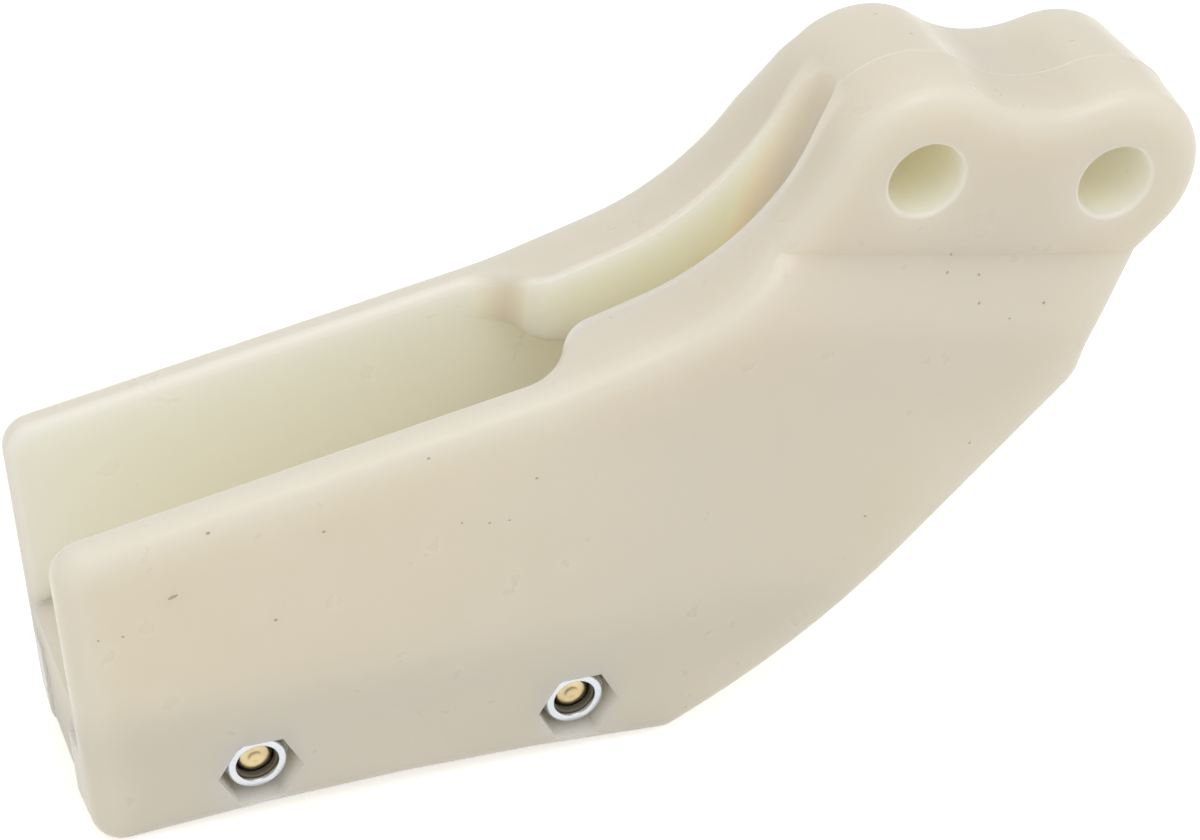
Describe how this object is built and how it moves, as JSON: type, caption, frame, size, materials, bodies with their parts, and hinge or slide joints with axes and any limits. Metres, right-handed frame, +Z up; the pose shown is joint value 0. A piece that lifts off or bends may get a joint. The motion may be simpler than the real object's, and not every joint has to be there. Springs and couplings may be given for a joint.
{
  "type": "motorcycle chain guide",
  "caption": "Moulded chain guide for an off-road motorcycle swingarm, with a bolted wear block between its side plates, and ears with mounting bores.",
  "frame": {"origin": "centre of the guide's length and thickness, on the ground that its lower edge stands on", "axes": "+X along the guide from the open entry to the mounting ears, +Y across it away from the nut side, +Z up"},
  "size_m": [0.1828, 0.04, 0.1124],
  "materials": {
    "natural_plastic": "soft satin, slightly translucent natural white",
    "wear_plastic": "satin natural white",
    "yellow_zinc": "yellow zinc plate",
    "bright_zinc": "bright blue zinc plate",
    "grey_nylon": "dark grey nylon"
  },
  "bodies": {
    "root": {"shell": "natural_plastic", "wear_block": "wear_plastic", "bolt_front": "yellow_zinc", "bolt_rear": "yellow_zinc", "lock_nut_front": "bright_zinc", "lock_nut_rear": "bright_zinc", "nut_insert_front": "grey_nylon", "nut_insert_rear": "grey_nylon"}
  },
  "joints": []
}
